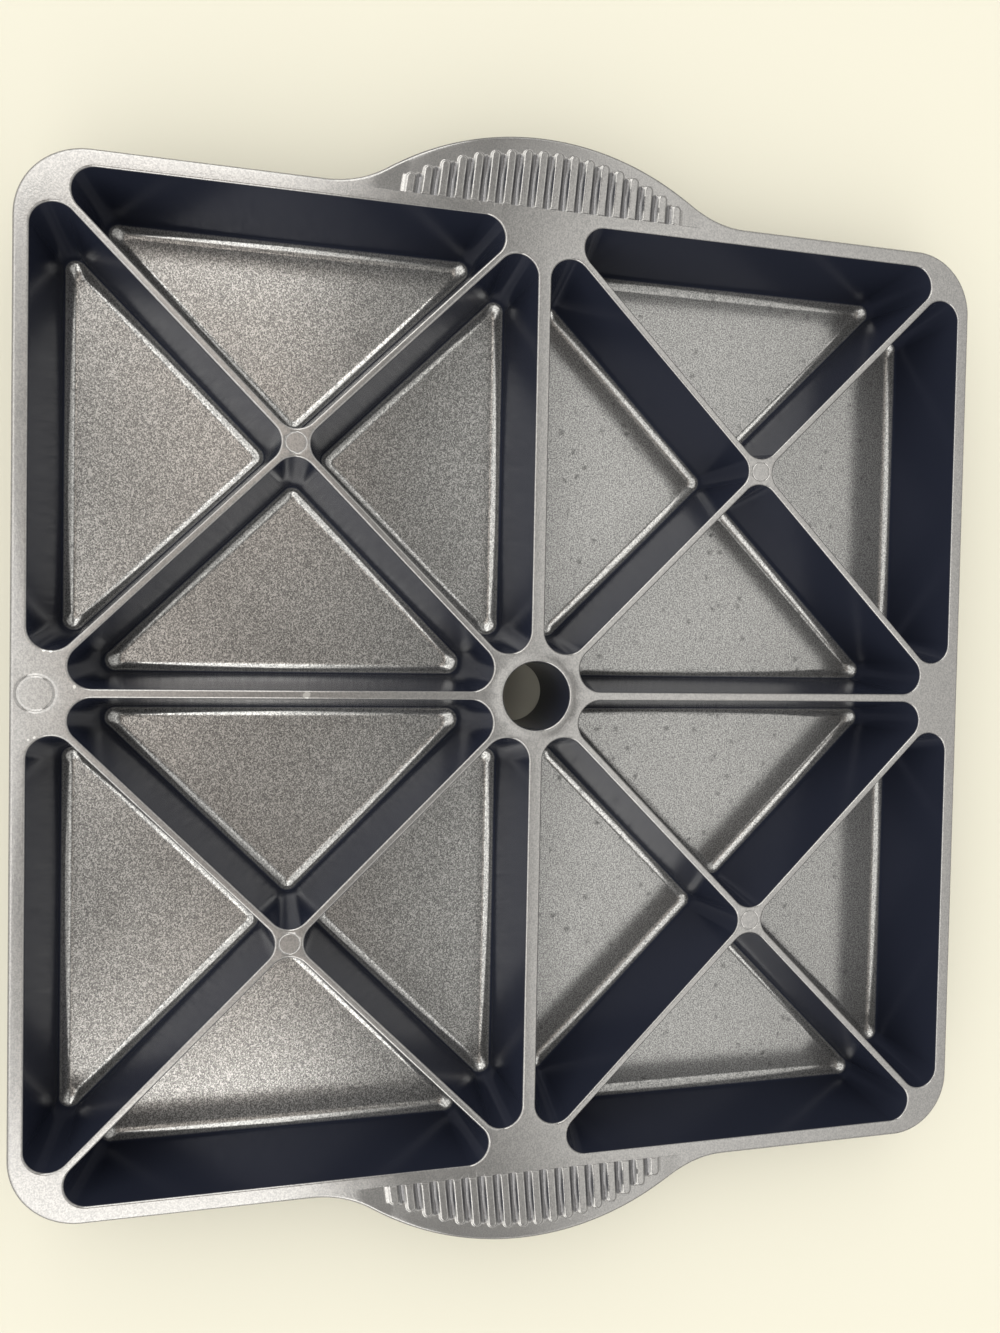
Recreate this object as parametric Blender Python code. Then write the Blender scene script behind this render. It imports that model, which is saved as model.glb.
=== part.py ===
"""Scone pan: a cast aluminium baking pan with sixteen triangular wells.

The pan lies in its own frame: +Z is up, the two handles point along -X and +X,
and the origin is the middle of the base, on the surface that the pan rests on.
The casting is built as regions that meet with a hairline gap: sixteen wells,
each with its share of the rim, the round hub in the middle and the two handles.
All sizes below are millimetres and become metres where a mesh is made.
"""

import math

import bmesh
import bpy
from mathutils import Vector

MM = 0.001

# The whole pan
BODY = 280.0  # side of the square rim
HEIGHT = 31.75  # from the resting surface to the top of the rim
RIM_WIDTH = 4.0  # beside the wells, on the sides without handles
RIM_CORNER_RADIUS = 18.5
RIM_THICKNESS = 4.5  # of the rim and of the handles
RIM_EDGE = 1.0  # rounding of the rim's and the handles' outer edges
JOINT_GAP = 0.3  # clear space between two regions of the casting

# The wells
LONG_RIB = 3.8  # width of the rib along X, at the top of the pan
CROSS_RIB = 2.4  # width of the rib along Y
DIAGONAL_RIB = 2.0  # width of the slanting ribs
FLOOR_THICKNESS = 3.0
WALL_THICKNESS = 3.0
DRAFT = math.radians(8.0)  # lean of the well's walls
WELL_EDGE = 0.6  # rounding of the well's top edge
FLOOR_FILLET = 3.5  # inside, between wall and floor
BASE_FILLET = 5.0  # outside, between wall and base
HUB_CORNER_RADIUS = 6.7  # a well's corner beside the hub
RIM_TIP_RADIUS = 6.0  # a well's narrow corner beside the rim
NODE_CORNER_RADIUS = 6.0  # a well's square corner, where the slanting ribs cross
CORNER_TAPER = 0.7  # by how much a corner's radius shrinks for each unit of inset
LEAST_RADIUS = 0.4
SQUARE_STEPS = 5  # facets round a well's square corner
TIP_STEPS = 10  # facets round a well's narrow corners
SEAM_EDGE = 0.06  # bevel where two regions meet

# The hub
HUB_HOLE_RADIUS = 9.9
HUB_WALL = 3.1
HUB_FOOT = 1.5  # height of the hub's lower end
HUB_DRAFT = math.radians(1.0)
HUB_STEPS = 32

# The handles
GRIP_OUT = 18.8  # how far a handle stands out of the rim
GRIP_RADIUS = 81.5  # of the handle's outer curve
ROOT_RADIUS = 30.0  # of the hollow curve between handle and rim
GRIP_SEAT = 1.35  # how far the flutes' straight inner ends lie inside the rim's edge
FLUTES = 17
FLUTE_PITCH = 4.65
FLUTE_WIDTH = 2.4
FLUTE_DEPTH = 1.1
FLUTE_SLANT = math.tan(math.radians(5.0))  # the flutes lean towards +Y as they run outward
FLUTE_MARGIN = 4.6  # from the flutes' round ends to the handle's edge
PLAIN_STEPS = 9  # lines across the plain part at each end of the flutes

COATING_COLOUR = (0.23, 0.23, 0.235, 1.0)
COATING_ROUGHNESS = 0.38
COATING_METALLIC = 0.85

HALF = BODY / 2
QUARTER = HALF - LONG_RIB / 2 - RIM_WIDTH  # side of the square that four wells fill
HALF_GAP = JOINT_GAP / 2
LEAN = math.tan(DRAFT)
RIM_UNDER = HEIGHT - RIM_THICKNESS
OPEN_X0 = CROSS_RIB / 2
OPEN_Y0 = LONG_RIB / 2
OPEN_X1 = OPEN_X0 + QUARTER
OPEN_Y1 = OPEN_Y0 + QUARTER
NODE = Vector((OPEN_X0 + QUARTER / 2, OPEN_Y0 + QUARTER / 2))
RISING = Vector((1.0, 1.0)).normalized()  # the rib from the hub to a rim corner
FALLING = Vector((1.0, -1.0)).normalized()  # the rib that crosses it
GRIP_INNER = HALF - GRIP_SEAT
HUB_RADIUS = HUB_HOLE_RADIUS + HUB_WALL
ROOT_X = HALF + GRIP_OUT - GRIP_RADIUS
ROOT_Y = math.sqrt((GRIP_RADIUS + ROOT_RADIUS) ** 2 - (HALF + ROOT_RADIUS - ROOT_X) ** 2)
NOTCH = ROOT_Y + 1.0  # half the length of the gap in the rim that holds a handle
SEAM_X = GRIP_INNER - JOINT_GAP


def clear_scene():
    for thing in list(bpy.data.objects):
        bpy.data.objects.remove(thing, do_unlink=True)


def coating(name):
    """Dark non-stick coating on cast aluminium."""
    material = bpy.data.materials.new(name + "_coating")
    material.use_nodes = True
    shader = material.node_tree.nodes["Principled BSDF"]
    shader.inputs["Base Color"].default_value = COATING_COLOUR
    shader.inputs["Roughness"].default_value = COATING_ROUGHNESS
    shader.inputs["Metallic"].default_value = COATING_METALLIC
    return material


def add_object(name, bm, origin):
    """Close the mesh, turn its faces outward and place it by its own origin."""
    bmesh.ops.remove_doubles(bm, verts=bm.verts, dist=1e-6)
    bmesh.ops.recalc_face_normals(bm, faces=bm.faces)
    mesh = bpy.data.meshes.new(name)
    bm.to_mesh(mesh)
    bm.free()
    mesh.shade_smooth()
    mesh.set_sharp_from_angle(angle=math.radians(30.0))
    thing = bpy.data.objects.new(name, mesh)
    thing.location = Vector(origin) * MM
    thing.data.materials.append(coating(name))
    bpy.context.collection.objects.link(thing)
    return thing


def bridge(bm, lower, upper):
    """Four-sided faces between two rings of the same length."""
    count = len(lower)
    for i in range(count):
        j = (i + 1) % count
        bm.faces.new((lower[i], lower[j], upper[j], upper[i]))


def skin(rings, origin=(0.0, 0.0, 0.0), caps=True):
    """A closed body through a list of rings of points."""
    bm = bmesh.new()
    loops = []
    for ring in rings:
        loop = []
        for point in ring:
            loop.append(bm.verts.new((Vector(point) - Vector(origin)) * MM))
        loops.append(loop)
    for lower, upper in zip(loops, loops[1:]):
        bridge(bm, lower, upper)
    if caps:
        bm.faces.new(loops[0])
        bm.faces.new(loops[-1])
    else:
        bridge(bm, loops[-1], loops[0])
    return bm


# Wells


def well_triangle(kind):
    """The well's mouth as a sharp triangle, counter-clockwise, with corner radii."""
    half = DIAGONAL_RIB / 2
    side = Vector((-RISING.y, RISING.x))  # to the left of the rising rib
    along = Vector((-FALLING.y, FALLING.x))  # outward from the hub
    above_rising = (side, side.dot(NODE) + half)
    below_rising = (side, side.dot(NODE) - half)
    inside_falling = (along, along.dot(NODE) - half)
    outside_falling = (along, along.dot(NODE) + half)
    across = Vector((1.0, 0.0))
    up = Vector((0.0, 1.0))
    if kind == "cross_rib":
        base = (across, OPEN_X0)
        sides = (above_rising, inside_falling)
        radii = (HUB_CORNER_RADIUS, NODE_CORNER_RADIUS, RIM_TIP_RADIUS)
    elif kind == "long_rib":
        base = (up, OPEN_Y0)
        sides = (inside_falling, below_rising)
        radii = (RIM_TIP_RADIUS, NODE_CORNER_RADIUS, HUB_CORNER_RADIUS)
    elif kind == "handle_rim":
        base = (across, OPEN_X1)
        sides = (below_rising, outside_falling)
        radii = (RIM_TIP_RADIUS, NODE_CORNER_RADIUS, RIM_TIP_RADIUS)
    else:
        base = (up, OPEN_Y1)
        sides = (outside_falling, above_rising)
        radii = (RIM_TIP_RADIUS, NODE_CORNER_RADIUS, RIM_TIP_RADIUS)
    corners = (meet(base, sides[0]), meet(*sides), meet(sides[1], base))
    return corners, radii


def meet(first, second):
    """Where two lines meet; each line is a normal and its distance."""
    (a, d), (b, e) = first, second
    det = a.x * b.y - a.y * b.x
    return Vector(((d * b.y - e * a.y) / det, (a.x * e - b.x * d) / det))


def footprint(kind):
    """Lines that bound the well's share of the pan, as (outward normal, distance)."""
    side = Vector((-RISING.y, RISING.x))
    along = Vector((-FALLING.y, FALLING.x))
    above_rising = (-side, -side.dot(NODE) - HALF_GAP)
    below_rising = (side, side.dot(NODE) - HALF_GAP)
    inside_falling = (along, along.dot(NODE) - HALF_GAP)
    outside_falling = (-along, -along.dot(NODE) - HALF_GAP)
    right_of_middle = (Vector((-1.0, 0.0)), -HALF_GAP)
    above_middle = (Vector((0.0, -1.0)), -HALF_GAP)
    return {
        "cross_rib": (right_of_middle, above_rising, inside_falling),
        "long_rib": (above_middle, below_rising, inside_falling),
        "handle_rim": (above_middle, below_rising, outside_falling),
        "side_rim": (right_of_middle, above_rising, outside_falling),
    }[kind]


def reach(kind, start, heading):
    """How far a line from start goes before it leaves the well's share of the pan."""
    best = math.inf
    for normal, distance in footprint(kind):
        slope = normal.dot(heading)
        if slope > 1e-9:
            best = min(best, (distance - normal.dot(start)) / slope)
    best = min(best, to_rim(start, heading, kind))
    hub = to_circle(start, heading, Vector((0.0, 0.0)), HUB_RADIUS + JOINT_GAP, near=True)
    return min(best, hub)


def to_circle(start, heading, centre, radius, near):
    """Distance along a line to a circle, or infinity where it misses."""
    offset = start - centre
    half = offset.dot(heading)
    root = half * half - offset.dot(offset) + radius * radius
    if root < 0.0:
        return math.inf
    distance = -half - math.sqrt(root) if near else -half + math.sqrt(root)
    return distance if distance > 0.0 else math.inf


def to_rim(start, heading, kind):
    """Distance along a line to the rim's outer edge, with its round corner."""
    edges = [(Vector((0.0, 1.0)), HALF)]
    if kind == "handle_rim" and start.y + heading.y * (SEAM_X - start.x) < NOTCH:
        edges.append((Vector((1.0, 0.0)), SEAM_X))
    else:
        edges.append((Vector((1.0, 0.0)), HALF))
    best = math.inf
    for normal, distance in edges:
        slope = normal.dot(heading)
        if slope > 1e-9:
            best = min(best, (distance - normal.dot(start)) / slope)
    if best < math.inf:
        end = start + heading * best
        inner = HALF - RIM_CORNER_RADIUS
        if end.x > inner and end.y > inner:
            centre = Vector((inner, inner))
            best = to_circle(start, heading, centre, RIM_CORNER_RADIUS, near=False)
    return best


def landmarks(kind):
    """Corners of the well's share of the pan, which its outline passes through."""
    first, rising, falling = footprint(kind)
    marks = [meet(first, falling), meet(rising, falling)]
    hub = HUB_RADIUS + JOINT_GAP
    inner = HALF - RIM_CORNER_RADIUS
    round_corner = on_circle(rising, RIM_CORNER_RADIUS, Vector((inner, inner)))
    if kind == "cross_rib":
        marks.append(on_circle(first, hub))
        marks.append(on_circle(rising, hub))
    elif kind == "long_rib":
        marks.append(on_circle(first, hub))
        marks.append(on_circle(rising, hub))
    elif kind == "side_rim":
        marks.append(Vector((HALF_GAP, HALF)))
        marks.append(Vector((inner, HALF)))
        marks.append(round_corner)
    else:
        marks.append(Vector((SEAM_X, HALF_GAP)))
        marks.append(Vector((HALF, inner)))
        marks.append(round_corner)
    return marks


def on_circle(line, radius, centre=Vector((0.0, 0.0))):
    """Where a line leaves a circle, going away from the middle of the pan."""
    normal, distance = line
    clear = distance - normal.dot(centre)
    along = Vector((-normal.y, normal.x))
    if along.x + along.y < 0.0:
        along = -along
    return centre + normal * clear + along * math.sqrt(radius**2 - clear**2)


class Well:
    """Outline of one well in the first quarter of the pan."""

    def __init__(self, kind):
        self.kind = kind
        self.corners, self.radii = well_triangle(kind)
        self.samples = []
        for k in range(3):
            before = self.edge_normal(k - 1)
            after = self.edge_normal(k)
            self.samples += self.fan(k, before, after)
            if kind == "handle_rim" and abs(after.x - 1.0) < 1e-6:
                for y in (NOTCH - 0.01, NOTCH + JOINT_GAP):
                    self.samples.append(("edge", Vector((OPEN_X1, y)), after))

    def edge_normal(self, k):
        a = self.corners[k % 3]
        b = self.corners[(k + 1) % 3]
        run = (b - a).normalized()
        return Vector((run.y, -run.x))

    def corner(self, k, inset):
        """A corner of the triangle after each side moves in by inset."""
        before = self.edge_normal(k - 1)
        after = self.edge_normal(k)
        inward = -(before + after).normalized()
        return self.corners[k] + inward * (inset / -inward.dot(before))

    def fan(self, k, before, after):
        """Headings round one corner, with those that meet a landmark."""
        start = math.atan2(before.y, before.x)
        turn = (math.atan2(after.y, after.x) - start) % (2 * math.pi)
        steps = TIP_STEPS if turn > math.radians(120.0) else SQUARE_STEPS
        angles = [start + turn * j / steps for j in range(steps + 1)]
        free = set(range(1, steps))
        centre = self.corner(k, self.radii[k])
        for mark in landmarks(self.kind):
            way = mark - centre
            angle = start + (math.atan2(way.y, way.x) - start) % (2 * math.pi)
            if angle - start >= turn or way.length > HALF / 2:
                continue
            nearest = min(free, key=lambda j: abs(angles[j] - angle))
            angles[nearest] = angle
            free.discard(nearest)
        return [("corner", k, Vector((math.cos(a), math.sin(a)))) for a in sorted(angles)]

    def point(self, sample, inset):
        """A point of the outline, moved in by inset, or out where it is negative."""
        form, where, heading = sample
        if form == "edge":
            return where - heading * inset
        shrink = inset * CORNER_TAPER if inset > 0.0 else inset
        radius = max(self.radii[where] - shrink, LEAST_RADIUS)
        return self.corner(where, inset + radius) + heading * radius

    def room(self, sample):
        """Distance from the outline to the edge of the well's share of the pan."""
        form, where, heading = sample
        if form == "edge":
            seam = SEAM_X if where.y < NOTCH else HALF
            return seam - where.x
        radius = self.radii[where]
        return reach(self.kind, self.corner(where, radius), heading) - radius

    def on_rim(self, sample):
        """True where the outline's outermost point is on the pan's outer edge."""
        edge = self.point(sample, -self.room(sample))
        flat = abs(edge.x - HALF) < 1e-6 or abs(edge.y - HALF) < 1e-6
        inner = HALF - RIM_CORNER_RADIUS
        return flat or (edge.x > inner and edge.y > inner)


def outer_offset(z):
    """How far the outer wall stands outside the well's mouth at height z."""
    return WALL_THICKNESS - (HEIGHT - z) * LEAN


def well_rings(well):
    """Rings of (outline inset, height), from the floor up and over, down to the base."""
    rings = []

    def add(rule):
        ring = []
        for sample in well.samples:
            inset, z = rule(sample)
            flat = well.point(sample, inset)
            ring.append((flat.x, flat.y, z))
        rings.append(ring)

    # Inside: the floor's fillet, the leaning wall and the rounded top edge
    foot = FLOOR_THICKNESS + FLOOR_FILLET * (1.0 - math.sin(DRAFT))
    centre = (HEIGHT - foot) * LEAN + FLOOR_FILLET * math.cos(DRAFT)
    for step in range(4):
        angle = math.pi / 2 + (DRAFT - math.pi / 2) * step / 3
        inset = centre - FLOOR_FILLET * math.cos(angle)
        z = FLOOR_THICKNESS + FLOOR_FILLET * (1.0 - math.sin(angle))
        add(lambda sample, i=inset, h=z: (i, h))
    back = WELL_EDGE / math.tan((math.pi / 2 + DRAFT) / 2)
    for step in range(3):
        angle = (math.pi / 2 - DRAFT) * (1.0 - step / 2)
        inset = -back + WELL_EDGE * math.sin(angle)
        z = HEIGHT - WELL_EDGE * (1.0 - math.cos(angle))
        add(lambda sample, i=inset, h=z: (i, h))

    # The rim's flat top and outer edge, or the seam to the next region
    def edge(sample):
        return RIM_EDGE if well.on_rim(sample) else SEAM_EDGE

    for angle in (0.0, math.pi / 4, math.pi / 2):
        back = 1.0 - math.sin(angle)
        drop = 1.0 - math.cos(angle)

        def rim(sample, back=back, drop=drop):
            size = edge(sample)
            return size * back - well.room(sample), HEIGHT - size * drop

        add(rim)
    add(lambda sample: (-well.room(sample), RIM_UNDER + RIM_EDGE))

    # The rim's underside, or the thick root of a rib, down to the leaning wall
    def under_edge(sample):
        room = well.room(sample)
        if is_web(room):
            return RIM_EDGE - room, RIM_UNDER
        return -room, RIM_UNDER - 0.5

    def wall_top(sample):
        room = well.room(sample)
        if is_web(room):
            return -outer_offset(RIM_UNDER), RIM_UNDER
        z = min(HEIGHT - (WALL_THICKNESS - room) / LEAN, RIM_UNDER - 2.0)
        return -min(room, outer_offset(z)), z

    add(under_edge)
    add(wall_top)
    start = BASE_FILLET * (1.0 - math.sin(DRAFT))
    middle = outer_offset(start) - BASE_FILLET * math.cos(DRAFT)
    for step in range(4):
        angle = DRAFT + (math.pi / 2 - DRAFT) * step / 3
        offset = middle + BASE_FILLET * math.cos(angle)
        z = BASE_FILLET * (1.0 - math.sin(angle))
        add(lambda sample, o=offset, h=z: (-o, h))
    return rings


def is_web(room):
    """True where the rim's plate stands clear of the wall below it."""
    return room > outer_offset(RIM_UNDER) + 1.4


def add_well(name, kind, sign_x, sign_y):
    well = Well(kind)
    rings = []
    for ring in well_rings(well):
        rings.append([(sign_x * x, sign_y * y, z) for x, y, z in ring])
    floor = rings[0]
    count = len(floor)
    middle = (sum(p[0] for p in floor) / count, sum(p[1] for p in floor) / count, 0.0)
    return add_object(name, skin(rings, middle), middle)


# Hub


def add_hub():
    """The round boss in the middle, with its hole right through."""
    back = WELL_EDGE
    foot = HUB_HOLE_RADIUS - (HEIGHT - HUB_FOOT) * math.tan(HUB_DRAFT)
    bevel = 0.5
    outer = HUB_RADIUS - (HEIGHT - HUB_FOOT) * math.tan(HUB_DRAFT)
    profile = [
        (HUB_HOLE_RADIUS + back, HEIGHT),
        (HUB_HOLE_RADIUS + back * (1 - math.sqrt(0.5)), HEIGHT - back * (1 - math.sqrt(0.5))),
        (HUB_HOLE_RADIUS, HEIGHT - back),
        (foot, HUB_FOOT + bevel),
        (foot + bevel, HUB_FOOT),
        (outer - bevel, HUB_FOOT),
        (outer, HUB_FOOT + bevel),
        (HUB_RADIUS, HEIGHT - SEAM_EDGE),
        (HUB_RADIUS - SEAM_EDGE, HEIGHT),
    ]
    rings = []
    for radius, z in profile:
        ring = []
        for step in range(HUB_STEPS):
            angle = 2 * math.pi * step / HUB_STEPS
            ring.append((radius * math.cos(angle), radius * math.sin(angle), z))
        rings.append(ring)
    return add_object("hub", skin(rings, caps=False), (0.0, 0.0, 0.0))


# Handles


def grip_edge(y):
    """The handle's outer edge: a round tip that runs into the rim by hollow curves."""
    y = abs(y)
    tangent = ROOT_Y * GRIP_RADIUS / (GRIP_RADIUS + ROOT_RADIUS)
    if y <= tangent:
        return ROOT_X + math.sqrt(GRIP_RADIUS**2 - y**2)
    if y >= ROOT_Y:
        return HALF
    return HALF + ROOT_RADIUS - math.sqrt(ROOT_RADIUS**2 - (ROOT_Y - y) ** 2)


def grip_lead(y):
    """Direction out of the handle's outer edge."""
    step = 0.01
    slope = (grip_edge(y + step) - grip_edge(y - step)) / (2 * step)
    return Vector((1.0, -slope)).normalized()


def flute_ball():
    """Radius of the round cutter that leaves a flute of this width and depth."""
    half = FLUTE_WIDTH / 2
    return (half**2 + FLUTE_DEPTH**2) / (2 * FLUTE_DEPTH)


def flute_end(centre):
    """Where the flute's straight length stops and its round end starts."""
    tip = ROOT_X + math.sqrt((GRIP_RADIUS - FLUTE_MARGIN) ** 2 - centre**2)
    return tip - FLUTE_WIDTH / 2


def flute_columns():
    """Lines along X across the handle, as (y, centre of the flute or None, offset)."""
    half = FLUTE_WIDTH / 2
    last = (FLUTES - 1) / 2
    columns = []
    for number in range(FLUTES):
        centre = (number - last) * FLUTE_PITCH
        for share in (-1.0, -0.7, 0.0, 0.7, 1.0):
            columns.append((centre + share * half, centre, share * half))
    border = last * FLUTE_PITCH + half
    plain = NOTCH - JOINT_GAP - border
    outer = [border + plain * step / PLAIN_STEPS for step in range(1, PLAIN_STEPS + 1)]
    before = [(-y, None, 0.0) for y in reversed(outer)]
    after = [(y, None, 0.0) for y in outer]
    return before + columns + after


def column_profile(y, centre, offset):
    """One line along the handle's top: from the inner face to the edge's rounding."""
    tip = grip_edge(y)
    out = grip_lead(y)
    ball = flute_ball()
    edge = min(RIM_EDGE, (tip - GRIP_INNER) * 0.45)
    points = []
    if centre is None:
        stop = GRIP_INNER + (tip - edge - GRIP_INNER) * 0.4
        for share in (0.0, 0.25, 0.5, 0.75, 1.0):
            points.append((GRIP_INNER + (stop - GRIP_INNER) * share, y, HEIGHT))
    else:
        depth = math.sqrt(ball**2 - offset**2) - (ball - FLUTE_DEPTH)
        start = flute_end(centre)
        span = math.sqrt(max((FLUTE_WIDTH / 2) ** 2 - offset**2, 0.36))
        points.append((GRIP_INNER, y, HEIGHT - depth))
        for share in (0.0, 0.55, 0.85, 1.0):
            run = span * share
            cut = math.sqrt(max(ball**2 - offset**2 - run**2, 0.0)) - (ball - FLUTE_DEPTH)
            slant = (start + run - GRIP_INNER) * FLUTE_SLANT
            points.append((start + run, y + slant, HEIGHT - max(min(cut, depth), 0.0)))
    for angle in (0.0, math.pi / 4, math.pi / 2):
        back = edge * (1.0 - math.sin(angle))
        z = HEIGHT - edge * (1.0 - math.cos(angle))
        points.append((tip - out.x * back, y - out.y * back, z))
    points.append((tip, y, RIM_UNDER + edge))
    points.append((tip - out.x * edge, y - out.y * edge, RIM_UNDER))
    points.append((GRIP_INNER, y, RIM_UNDER))
    return points


def add_handle(name, sign):
    """A crescent grip with a row of flutes across its top."""
    bm = bmesh.new()
    origin = Vector((sign * HALF, 0.0, HEIGHT))
    rows = []
    for y, centre, offset in flute_columns():
        row = []
        for point in column_profile(y, centre, offset):
            placed = Vector((sign * point[0], point[1], point[2]))
            row.append(bm.verts.new((placed - origin) * MM))
        rows.append(row)
    for first, second in zip(rows, rows[1:]):
        bridge(bm, first, second)
    bm.faces.new(rows[0])
    bm.faces.new(rows[-1])
    return add_object(name, bm, origin)


def build():
    clear_scene()
    for end, sign_x in (("left", -1), ("right", 1)):
        for side, sign_y in (("front", -1), ("back", 1)):
            for kind in ("cross_rib", "long_rib", "handle_rim", "side_rim"):
                add_well(f"well_{end}_{side}_{kind}", kind, sign_x, sign_y)
    add_hub()
    add_handle("handle_left", -1)
    add_handle("handle_right", 1)


build()
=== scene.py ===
import math

import bmesh
import bpy
import numpy as np
from mathutils import Matrix, Vector
from mathutils.geometry import delaunay_2d_cdt


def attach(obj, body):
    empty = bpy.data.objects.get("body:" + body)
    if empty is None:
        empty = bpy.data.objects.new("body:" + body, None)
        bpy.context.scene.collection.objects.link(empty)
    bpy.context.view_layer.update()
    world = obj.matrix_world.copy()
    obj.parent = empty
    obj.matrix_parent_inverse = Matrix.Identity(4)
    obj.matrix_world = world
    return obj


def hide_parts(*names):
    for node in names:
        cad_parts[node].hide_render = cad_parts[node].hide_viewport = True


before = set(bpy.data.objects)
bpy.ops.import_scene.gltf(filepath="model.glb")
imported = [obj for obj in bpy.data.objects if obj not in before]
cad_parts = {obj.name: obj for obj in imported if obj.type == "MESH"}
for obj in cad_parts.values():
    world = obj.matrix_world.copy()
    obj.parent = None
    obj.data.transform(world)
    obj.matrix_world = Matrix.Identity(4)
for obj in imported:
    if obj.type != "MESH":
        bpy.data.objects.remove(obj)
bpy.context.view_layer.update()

MM = 0.001

# Sizes of the casting in millimetres, as in the CAD model
HALF = 140.0
HEIGHT = 31.75
RIM_CORNER_RADIUS = 18.5
RIM_THICKNESS = 4.5
RIM_EDGE = 1.0
QUARTER = 134.1
LONG_RIB = 3.8
CROSS_RIB = 2.4
DIAGONAL_RIB = 2.0
FLOOR_THICKNESS = 3.0
WALL_THICKNESS = 3.0
DRAFT = math.radians(8.0)
WELL_EDGE = 0.6
FLOOR_FILLET = 3.5
BASE_FILLET = 5.0
HUB_CORNER_RADIUS = 6.7
RIM_TIP_RADIUS = 6.0
NODE_CORNER_RADIUS = 6.0
CORNER_TAPER = 0.7
LEAST_RADIUS = 0.4
HUB_HOLE_RADIUS = 9.9
HOLE_STEP = 1.9  # width of the shallow step round the hub's hole
HOLE_STEP_DEPTH = 0.12
HOLE_STEP_SIDE = 0.15  # how far the step's side leans
HUB_RADIUS = 13.0
HUB_FOOT = 1.5
HUB_DRAFT = math.radians(1.0)
HUB_BEVEL = 0.5
REACH = 158.8
GRIP_RADIUS = 81.5
ROOT_RADIUS = 30.0
GRIP_INNER = 138.65
FLUTES = 17
FLUTE_PITCH = 4.65
FLUTE_WIDTH = 2.4
FLUTE_DEPTH = 1.1
FLUTE_SLANT = math.tan(math.radians(5.0))
FLUTE_MARGIN = 4.6
PLATE_DROP = 0.3  # how far the handle's plate lies below the flat bars between its flutes
CREASE_DEPTH = 0.25  # of the fine groove along the flutes' inner ends
SEAM_OVERLAP = 0.3  # how far the undersides' walls run up into the rim's sheet
RIM_ROOT = 1.5  # largest radius of the hollow between two wells, seen from below
RIB_ROOT = 0.8  # its smallest radius
PIN_MARK = (3.05, 0.5, 0.13)  # radius of the mark, and width and depth of its groove
LARGE_MARK = (5.3, 1.3, 0.22)
LARGE_MARK_PLACE = (0.05, -133.65)

# How finely the casting is meshed
TIP_STEPS = 20
SQUARE_STEPS = 12
COLUMNS_PER_FLUTE = 24

LEAN = math.tan(DRAFT)
RIM_UNDER = HEIGHT - RIM_THICKNESS
OPEN_X0 = CROSS_RIB / 2
OPEN_Y0 = LONG_RIB / 2
OPEN_X1 = OPEN_X0 + QUARTER
OPEN_Y1 = OPEN_Y0 + QUARTER
NODE = np.array((OPEN_X0 + QUARTER / 2, OPEN_Y0 + QUARTER / 2))
ACROSS_RISING = np.array((-1.0, 1.0)) / math.sqrt(2.0)
ACROSS_FALLING = np.array((1.0, 1.0)) / math.sqrt(2.0)
ROOT_X = REACH - GRIP_RADIUS
ROOT_Y = math.sqrt((GRIP_RADIUS + ROOT_RADIUS) ** 2 - (HALF + ROOT_RADIUS - ROOT_X) ** 2)
NOTCH = ROOT_Y + 1.0


class Surface:
    """Points and faces, in millimetres, collected before they become a mesh."""

    def __init__(self):
        self.points = []
        self.faces = []

    def ring(self, flat, height):
        """Adds a row of points; returns their numbers."""
        start = len(self.points)
        heights = np.broadcast_to(height, (len(flat),))
        for (x, y), z in zip(flat, heights):
            self.points.append((float(x), float(y), float(z)))
        return list(range(start, start + len(flat)))

    def bridge(self, lower, upper, closed=True):
        count = len(lower) if closed else len(lower) - 1
        for i in range(count):
            j = (i + 1) % len(lower)
            self.faces.append((lower[i], lower[j], upper[j], upper[i]))

    def add_mirrored(self, other, flip_x, flip_y):
        start = len(self.points)
        sx = -1.0 if flip_x else 1.0
        sy = -1.0 if flip_y else 1.0
        self.points += [(sx * x, sy * y, z) for x, y, z in other.points]
        for face in other.faces:
            moved = [start + i for i in face]
            self.faces.append(tuple(moved[::-1]) if flip_x != flip_y else tuple(moved))

    def fill(self, loops, z, facing_up):
        """A flat sheet inside the first loop and outside the others."""
        flat = []
        edges = []
        for loop in loops:
            start = len(flat)
            flat += [Vector((float(x), float(y))) for x, y in loop]
            count = len(loop)
            edges += [(start + i, start + (i + 1) % count) for i in range(count)]
        points, _, faces = delaunay_2d_cdt(flat, edges, [], 1, 1e-7)[:3]
        middles = np.array([sum((points[i] for i in face), Vector((0, 0))) / len(face) for face in faces])
        inside = np.zeros(len(faces), dtype=bool)
        for loop in loops:
            loop = np.asarray(loop)
            for (ax, ay), (bx, by) in zip(loop, np.roll(loop, -1, 0)):
                if ay != by:
                    crosses = (middles[:, 1] > min(ay, by)) & (middles[:, 1] <= max(ay, by))
                    at = ax + (middles[:, 1] - ay) * (bx - ax) / (by - ay)
                    inside ^= crosses & (at > middles[:, 0])
        start = len(self.points)
        self.points += [(p.x, p.y, z) for p in points]
        for face, keep in zip(faces, inside):
            if keep:
                moved = [start + i for i in face]
                self.faces.append(tuple(moved) if facing_up else tuple(moved[::-1]))

    def build(self, name):
        mesh = bpy.data.meshes.new(name)
        bm = bmesh.new()
        points = [bm.verts.new((x * MM, y * MM, z * MM)) for x, y, z in self.points]
        for face in self.faces:
            if len(set(face)) == len(face):
                bm.faces.new([points[i] for i in face])
        bmesh.ops.remove_doubles(bm, verts=bm.verts, dist=1e-6)
        bm.to_mesh(mesh)
        bm.free()
        return bpy.data.objects.new(name, mesh)


# Wells


def meet(first, second):
    """Where two lines meet; each line is a normal and its distance."""
    return np.linalg.solve(np.array((first[0], second[0])), (first[1], second[1]))


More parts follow.
